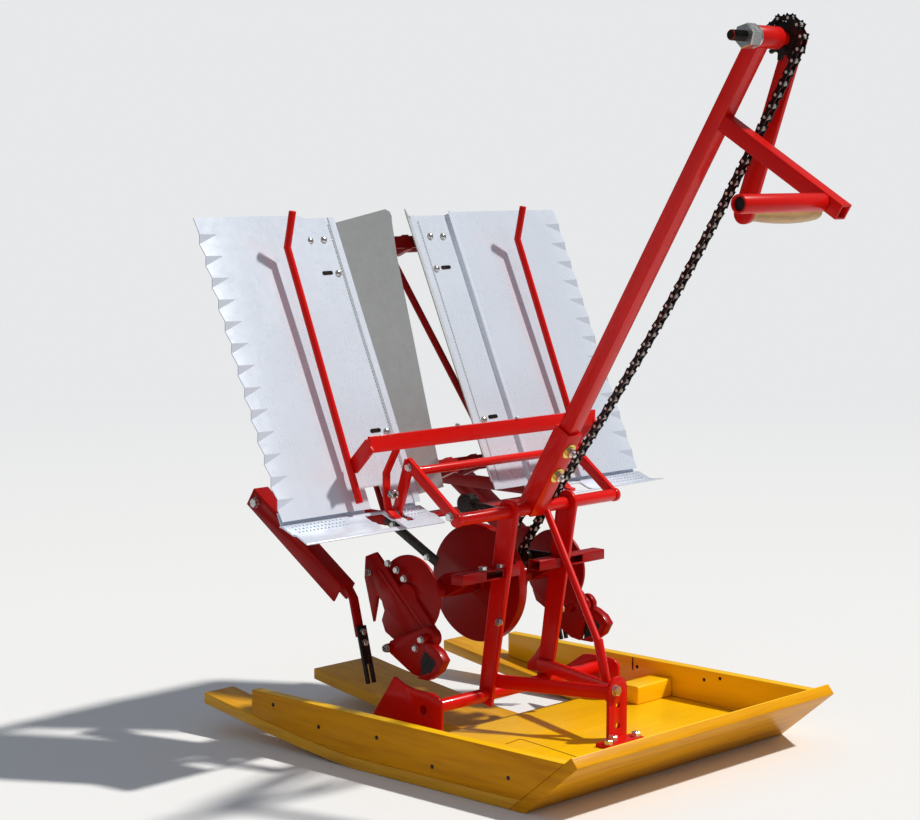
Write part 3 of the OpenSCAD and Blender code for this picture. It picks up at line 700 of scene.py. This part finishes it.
def tray_fittings(side, sgn, base):
    """The jagged folded seam beside the wall in the grey sheet of painted shade, two slots as black painted
    shade, and the screws.
    """
    bm = bmesh.new()
    teeth = 86
    step = (TRAY_L - 16) / teeth
    for i in range(teeth):
        a0 = 8 + i * (TRAY_L - 16) / teeth
        a1 = a0 + step
        tooth = [(12.6, a0, 3.2), (12.6, a1, 3.2), (15.2, (a0 + a1) / 2, 2.2)]
        if sgn > 0:
            tooth.reverse()
        bm.faces.new([bm.verts.new(on_tray(sgn * (base + x), a, n)) for x, a, n in tooth])
    piece("tray_%s_seam" % side, bm, "zinc_wall", "tray_carriage",
          mods=[("SOLIDIFY", dict(thickness=0.7 * MM, offset=-1.0))])
    bm = bmesh.new()
    # black prisms on the sheet stand for the slots: painted shade in their openings
    x = sgn * (base + 42)
    for a in (101, 330):
        slot = [on_tray(x + (7 if math.cos(th) > 0 else -7) + 2.6 * math.cos(th),
                        a + 2.8 * math.sin(th), 1.4) for th in turns(16)]
        prism(bm, slot, SHEET_UP * 0.6)
    piece("tray_%s_slots" % side, bm, "black", "tray_carriage")
    screws = [(22, 98), (22, 329), (56, 378), (30, 379)]
    scatter("tray_%s_screws" % side, "tray_carriage", P_RIVET, "bolt",
            [(on_tray(sgn * (base + dx), a, 1.6), SHEET_UP, 1.35) for dx, a in screws])


for side, sgn, base in (("left", -1, 107), ("right", 1, 43)):
    tray_sheet(side, sgn, base)
    tray_fittings(side, sgn, base)

# Mast, crank and roller chain
LEAN = math.radians(30.9)              # of the mast, towards the bow
MAST_X, MAST_FOOT, MAST_L = -10, (4, 326), 717
SHAFT = (98, 212)                      # y and z of the main shaft
CHAIN_X, PITCH, TEETH = 43, 15.875, 10
WHEEL_R = PITCH / (2 * math.sin(math.pi / TEETH))
CHAIN_GUIDE, CHAIN_SAG = Vector((73, 246)), 18.0
PLATE_END, PLATE_HALF, WAIST_HALF, PLATE_T = 4.6, 4.3, 2.7, 1.4
ROLLER_R, ROLLER_L = 4.0, 6.6
CRANK_THROW, CRANK_ANGLE = 228, math.radians(-71)
HANDLE_X = 68
HANDLE_ROWS = [(0, 5.05), (0, 11.2), (1.2, 12), (3.4, 12.8), (5, 12.2), (8, 10.6), (12, 10.4), (22, 11.4),
               (40, 13), (64, 14.4), (92, 15), (118, 14.2), (138, 12.6), (150, 11.0), (155, 9.4), (158, 7.0),
               (158, 5.05)]


def up_mast(length):
    """y and z of the place on the mast's line at a length above its foot."""
    return MAST_FOOT[0] - length * math.sin(LEAN), MAST_FOOT[1] + length * math.cos(LEAN)


HUB = up_mast(MAST_L)


def on_wheel(centre, angle):
    """y and z of a place on a chain wheel's pitch circle."""
    return Vector((centre[0] + WHEEL_R * math.cos(angle), centre[1] + WHEEL_R * math.sin(angle)))


def chain_loop():
    """The chain's line as (y, z): round the upper wheel, round the lower wheel and up with a sag."""
    line = math.atan2(HUB[1] - SHAFT[1], HUB[0] - SHAFT[0])
    steps = 24
    loop = [on_wheel(HUB, line + math.pi / 2 - math.pi * i / steps) for i in range(steps + 1)]
    start, end = math.radians(32), math.radians(-180)
    loop += [on_wheel(SHAFT, start + (end - start) * i / steps) for i in range(steps + 1)]
    for i in range(steps):
        t = 1 - i / steps
        p = loop[0] + (CHAIN_GUIDE - loop[0]) * t
        loop.append(p - Vector((CHAIN_SAG * math.sin(math.pi * t / 0.9) if t < 0.9 else 0.0, 0)))
    return loop


def chain_pins(loop):
    """Places of the pins at even steps round the loop, an even number of them, and the step."""
    n = len(loop)
    seg = [(loop[(i + 1) % n] - loop[i]).length for i in range(n)]
    total = sum(seg)
    count = 2 * round(total / PITCH / 2)
    step = total / count
    pins, i, d = [], 0, 0.0
    for _ in range(count):
        while d > seg[i]:
            d -= seg[i]
            i += 1
        pins.append(loop[i] + (loop[(i + 1) % n] - loop[i]) * (d / seg[i]))
        d += step
    return pins, step


def chain():
    """Pairs of waisted plates, inner and outer in turn, and a roller at each pin."""
    pins, step = chain_pins(chain_loop())
    plate = X * PLATE_T * MM
    roller = X * ROLLER_L * MM
    bm = bmesh.new()
    uv = bm.loops.layers.uv.new("link")
    # a plate's outline: (along the link from its first pin, across it)
    shape = [(-PLATE_END, PLATE_HALF), (step / 2, WAIST_HALF), (step + PLATE_END, PLATE_HALF),
             (step + PLATE_END, -PLATE_HALF), (step / 2, -WAIST_HALF), (-PLATE_END, -PLATE_HALF)]
    for k, p in enumerate(pins):
        d = (pins[(k + 1) % len(pins)] - p).normalized()
        m = Vector((-d.y, d.x))
        inner = k % 2 == 1
        for x0 in ((-4.7, 3.3) if inner else (-6.4, 5.0)):
            corners = [at(CHAIN_X + x0, *(p + d * a + m * b)) for a, b in shape]
            for f in prism(bm, corners, plate):
                # side faces and inner plates get a place far from any pin
                flat = abs(f.normal.x) > 0.9 or len(f.verts) > 4
                for lp in f.loops:
                    i = min(range(6), key=lambda n: min((lp.vert.co - corners[n]).length,
                                                        (lp.vert.co - corners[n] - plate).length))
                    a, b = shape[i]
                    lp[uv].uv = (a / step, b / step) if flat and not inner else (0.5, 0.0)
        rim = [(p.x + ROLLER_R * math.cos(th), p.y + ROLLER_R * math.sin(th)) for th in turns(5)]
        u = [bm.verts.new(at(CHAIN_X - ROLLER_L / 2, *q)) for q in rim]
        w = [bm.verts.new(v.co + roller) for v in u]
        for j in range(5):
            bm.faces.new((u[j], u[(j + 1) % 5], w[(j + 1) % 5], w[j]))
    piece("roller_chain", bm, "chain", "frame", ["chain"], angle=20)


chain()

# Crank handle, turned
bm = bmesh.new()
handle = (HUB[0] + CRANK_THROW * math.cos(CRANK_ANGLE), HUB[1] + CRANK_THROW * math.sin(CRANK_ANGLE))
ring(bm, at(HANDLE_X, *handle), X, mm_rows(HANDLE_ROWS), n=40, close=True)
piece("turned_handle", bm, "tan", BODY["crank_handle"], ["crank_handle"], angle=50)

# Bolts: rows of (x, y, z in mm, direction, size) for each body
BOLTS = {
    "frame": [
        (-7, -142, 97, -Y, 0.95), (-18, -148, 33, Z, 0.85), (20, -156, 33, Z, 0.85), (-38, -157, 33, Z, 0.8),
        (-206, 30, 33, Z, 0.85), (206, 30, 33, Z, 0.85), (-62, 14, 175, -X, 0.7), (62, 14, 175, X, 0.7),
        (-64, 12, 250, Z, 0.7), (-96, 14, 250, Z, 0.8), (-164, 8, 330, -X, 0.75), (-164, 84, 388, -X, 0.65),
        (-164, 108, 324, -X, 0.65), (164, 8, 330, X, 0.75), (-181, 97, 312, -X, 0.55),
        (-181, 34, 276, -X, 0.55), (-60, 94, 434, Z, 0.45), (60, 94, 434, Z, 0.45),
    ],
    "main_shaft": [
        (s * 157.2, y, z, X * s, 0.62) for s in (-1, 1)
        for y, z in ((130, 253), (114, 246), (100, 236), (168, 236), (88, 158))
    ] + [(-176, 50, 163, -X, 0.6), (176, 50, 163, X, 0.6)],
    "planting_arm_left": [(-166, 70, 147, -X, 0.6), (-173, 118, 141, -X, 0.7)],
    "planting_arm_right": [(166, 70, 147, X, 0.6), (173, 118, 141, X, 0.7)],
    "claw_lever_left": [(-197, 139.6, 164, -Y, 0.6), (-197, 136, 150, -Y, 0.6), (-210, 338, 320, -X, 0.9)],
    "claw_lever_right": [(197, 139.6, 164, -Y, 0.6), (197, 136, 150, -Y, 0.6), (210, 338, 320, X, 0.9)],
}
for body, rows in BOLTS.items():
    scatter("bolts_" + body, body, P_BOLT, "bolt", [(at(*r[:3]), r[3], r[4]) for r in rows])


def on_mast(x, y, z):
    """A point of the mast's frame: z up the mast from the upper tube, y to its rear."""
    c, s = math.cos(LEAN), math.sin(LEAN)
    return at(MAST_X + x, MAST_FOOT[0] + y * c - z * s, MAST_FOOT[1] + y * s + z * c)


# Washer, nut and thread on the crank's axle
hub = at(0, *HUB)
bm = bmesh.new()
ring(bm, hub - X * 0.0223, -X, mm_rows([(0, 8), (0, 14.6), (3.4, 14.6), (3.4, 8)]), n=28)
ring(bm, hub - X * 0.0255, -X, mm_rows([(0, 6), (0, 15.9), (16, 15.9), (17.9, 14.6), (17.9, 6)]), n=6)
piece("axle_nut", bm, "bolt", "crank", angle=25)
THREAD_PITCH, THREAD_TURNS = 1.7, 15
thread = []
for i in range(THREAD_TURNS):
    thread += [(i * THREAD_PITCH, 6.04), (i * THREAD_PITCH + THREAD_PITCH / 2, 6.7)]
bm = bmesh.new()
ring(bm, hub - X * 0.0431, -X, mm_rows(thread + [(25.6, 6.04), (26.4, 5.0), (26.4, 0)]), n=20)
piece("axle_thread", bm, "black", "crank", angle=25)

# The sleeve's two bolts go through the mast's front
MAST_REAR = Vector((0, math.cos(LEAN), math.sin(LEAN)))
SLEEVE_BOLTS = (65, 105)
scatter("sleeve_washers", "frame", P_WASHER, "brass",
        [(on_mast(0, -14, z), -MAST_REAR, 0.92) for z in SLEEVE_BOLTS])
scatter("sleeve_nuts", "frame", P_NUT, "bolt",
        [(on_mast(0, -15.6, z), -MAST_REAR, 0.9) for z in SLEEVE_BOLTS])

# Cam plates on the crank webs, each with a straight rim
CAM = [(58, 169), (137, 248), (156, 265), (176, 257), (178, 228), (161, 168), (155, 194), (153, 206),
       (143, 198), (139, 189), (145, 173), (138, 158), (118, 148), (77, 147)]
CAM_X, CAM_T = 151, 5.5
RIM_X, RIM_T, RIM_HALF = 150, 8, 2.6
RIM_ENDS = Vector((148, 242)), Vector((65, 166))
for side, sgn in SIDES:
    bm = bmesh.new()
    prism(bm, [at(sgn * CAM_X, y, z) for y, z in CAM], X * sgn * CAM_T * MM)
    rim = [at(sgn * RIM_X, *q) for q in bar_outline(*RIM_ENDS, RIM_HALF)]
    prism(bm, rim, X * sgn * RIM_T * MM)
    # the cam plates take the darker red: painted shade
    piece("cam_plate_" + side, bm, "dark", "main_shaft", mods=[bevel(0.9)])

# Black plates in the hooks of the planting arms: painted shade inside the hooks
HOOK_SHADE = [(56, 112), (35, 120), (24, 132), (27, 140), (48, 150), (56, 132)]
HOOK_SHADE_X, HOOK_SHADE_T = 163, 8
for side, sgn in SIDES:
    bm = bmesh.new()
    prism(bm, [at(sgn * HOOK_SHADE_X, y, z) for y, z in HOOK_SHADE], X * sgn * HOOK_SHADE_T * MM)
    piece("hook_pad_" + side, bm, "black", "planting_arm_" + side)

# Small black parts of the frame
bm = bmesh.new()
STOP_X, STOP_T, STOP_HALF = -177, 4, 6.5
stop = [at(STOP_X, *q) for q in bar_outline(Vector((112, 319)), Vector((18, 271)), STOP_HALF)]
prism(bm, stop, -X * STOP_T * MM)
piece("stop_bar_left", bm, "black", "frame", mods=[bevel(0.8)])
bm = bmesh.new()
ROLLER_ROWS = [(0, 0), (0, 12.5), (1.5, 14), (17, 14), (18.5, 12.5), (18.5, 0)]
ring(bm, at(-86, 58, 333), X, mm_rows(ROLLER_ROWS), n=28)
sweep(bm, [at(-77, 58, 333), at(-77, 20, 331), at(-77, 4, 329)], 5 * MM)
piece("cable_roller", bm, "black", "frame")

# Springs that hold the gate plates; k counts the points of a coil
SPRING_X, SPRING_Y, SPRING_Z, SPRING_R = 177, 96, 352, 5
bm = bmesh.new()
for sgn in (-1, 1):
    coil = [at(sgn * (SPRING_X + SPRING_R * math.cos(k * 0.8)), SPRING_Y + k * 0.22,
               SPRING_Z + SPRING_R * math.sin(k * 0.8) + k * 0.02) for k in range(48)]
    sweep(bm, coil, 1.1 * MM, n=6)
piece("gate_springs", bm, "bolt", "frame")

# Folded rear edges of the sills, which close the view below the trays' feet
SILL_FOLD = [(-9.5, -4.0), (9, -4.0), (9, -5.2), (-9.5, -5.2)]
bm = bmesh.new()
for sgn in (-1, 1):
    for x0, x1 in ((112, 160), (207, 357)):
        prism(bm, [on_tray(sgn * x0, *q) for q in SILL_FOLD], X * sgn * (x1 - x0) * MM)
piece("sill_folds", bm, "zinc", "frame")

# Pricked rows in the sills: (x of the first column, columns), three rows deep
SILL_UP = Vector((0, -0.36, 0.93))
PRICK_STEP = 6.5
dots = []
for sgn in (-1, 1):
    for x0, columns in ((262, 14), (117, 7)):
        for i in range(columns):
            for j in range(3):
                y = 99.5 + PRICK_STEP * j
                dots.append((at(sgn * (x0 + PRICK_STEP * i), y, 320.7 + (y - 97) * 0.385), SILL_UP, 1.0))
scatter("sill_pricks", "frame", P_DOT, "zinc", dots)

# Cracks in the deck, as lines of (x, y)
DECK_Z = 28.0
CRACK_HALF = 0.9
CRACKS = [[(-116, -46), (-100, -45), (-83, -42), (-90, -90), (-103, -162)],
          [(250, -31), (246, -80), (237, -163)], [(-236, 54), (-200, 20), (-170, -60)]]
bm = bmesh.new()
for line in CRACKS:
    for a, b in zip(line, line[1:]):
        crack = bar_outline(Vector(a), Vector(b), CRACK_HALF)
        prism(bm, [at(*q, DECK_Z - 0.4) for q in crack], Z * 0.55 * MM)
piece("deck_cracks", bm, "crack", "frame")

# A split and the nails in the side boards
SPLIT = [(-0.8, 54), (0.8, 54), (1.2, 64), (0.5, 73), (-0.5, 73), (-1.2, 64)]
bm = bmesh.new()
prism(bm, [at(251.6, 38 + y, z) for y, z in SPLIT], -X * 0.5 * MM)
piece("board_split", bm, "crack", "frame")
INNER_NAILS = ((-92, 60), (-120, 66), (30, 60))
OUTER_NAILS = ((-190, 40), (-60, 30), (40, 50), (150, 45), (240, 60))
scatter("board_nails", "frame", P_NAIL, "black", [(at(252, y, z), -X, 1.0) for y, z in INNER_NAILS]
        + [(at(-269, y, z), -X, 1.1) for y, z in OUTER_NAILS])

# A black disc inside the grip's tube end: painted shade of its hollow
GRIP_ROOT = up_mast(MAST_L - 114)
GRIP = (GRIP_ROOT[0] - 160, GRIP_ROOT[1] - 100.5)
bm = bmesh.new()
ring(bm, at(-182, *GRIP), X, mm_rows([(0, 0), (0, 8.7), (1, 8.7), (1, 0)]), n=24)
piece("grip_tube_dark", bm, "black", "frame")

# Stage and light
def floor():
    """A pale floor that fades into the background further out."""
    half = 90
    bm = bmesh.new()
    corners = ((-half, -half), (half, -half), (half, half), (-half, half))
    bm.faces.new([bm.verts.new((x, y, 0)) for x, y in corners])
    me = bpy.data.meshes.new("floor")
    bm.to_mesh(me)
    bm.free()
    ob = bpy.data.objects.new("floor", me)
    bpy.context.scene.collection.objects.link(ob)
    mat = bpy.data.materials.new("floor")
    mat.use_nodes = True
    bs = mat.node_tree.nodes["Principled BSDF"]
    bs.inputs["Base Color"].default_value = (0.76, 0.76, 0.75, 1)
    bs.inputs["Roughness"].default_value = 0.85
    t = Tree(mat.node_tree)
    dist = t.node("ShaderNodeVectorMath", operation="LENGTH")
    t.link(t.node("ShaderNodeTexCoord").outputs["Object"], dist.inputs[0])
    away = t.ramp(t.math("MULTIPLY", dist.outputs["Value"], 0.1), [(0.12, 0.0), (0.45, 1.0)])
    clear, blend = t.node("ShaderNodeBsdfTransparent"), t.node("ShaderNodeMixShader")
    t.link(away, blend.inputs[0])
    t.link(bs.outputs[0], blend.inputs[1])
    t.link(clear.outputs[0], blend.inputs[2])
    t.link(blend.outputs[0], mat.node_tree.nodes["Material Output"].inputs["Surface"])
    me.materials.append(mat)


def sky():
    """A soft blue light all round, and a plain grey background for the camera."""
    world = bpy.data.worlds.new("world")
    bpy.context.scene.world = world
    world.use_nodes = True
    t = Tree(world.node_tree)
    world.node_tree.nodes.clear()
    out = t.node("ShaderNodeOutputWorld")
    path = t.node("ShaderNodeLightPath")
    light, back = t.node("ShaderNodeBackground"), t.node("ShaderNodeBackground")
    light.inputs["Color"].default_value = (0.80, 0.88, 1.0, 1)
    back.inputs["Color"].default_value = (0.80, 0.81, 0.82, 1)
    seen = t.math("MAXIMUM", path.outputs["Is Camera Ray"], path.outputs["Is Transmission Ray"])
    # reflections see half of the light, so the enamel stays deep
    power = t.math("SUBTRACT", 0.32, t.math("MULTIPLY", path.outputs["Is Glossy Ray"], 0.16))
    t.link(power, light.inputs["Strength"])
    blend = t.node("ShaderNodeMixShader")
    t.link(seen, blend.inputs[0])
    t.link(light.outputs[0], blend.inputs[1])
    t.link(back.outputs[0], blend.inputs[2])
    t.link(blend.outputs[0], out.inputs["Surface"])


def lamp(name, kind, direction, power, colour, spread):
    """A sun or a square area lamp that shines on the machine from a direction."""
    la = bpy.data.lights.new(name, kind)
    la.energy = power
    la.color = colour
    if kind == "SUN":
        la.angle = math.radians(spread)
    else:
        la.size = spread
    o = bpy.data.objects.new(name, la)
    # the fill lights the shaded sides without showing in the enamel
    o.visible_glossy = kind == "SUN"
    d = Vector(direction)
    o.location = d + Vector((0, 0, 0.4))
    o.rotation_euler = (-d).to_track_quat("-Z", "Y").to_euler()
    bpy.context.scene.collection.objects.link(o)


floor()
sky()
lamp("key", "SUN", (1.9, -1.5, 3.3), 3.6, (1.0, 0.97, 0.92), 3)
lamp("fill", "AREA", (-3.6, -2.2, 1.6), 12, (0.95, 0.97, 1.0), 2.6)
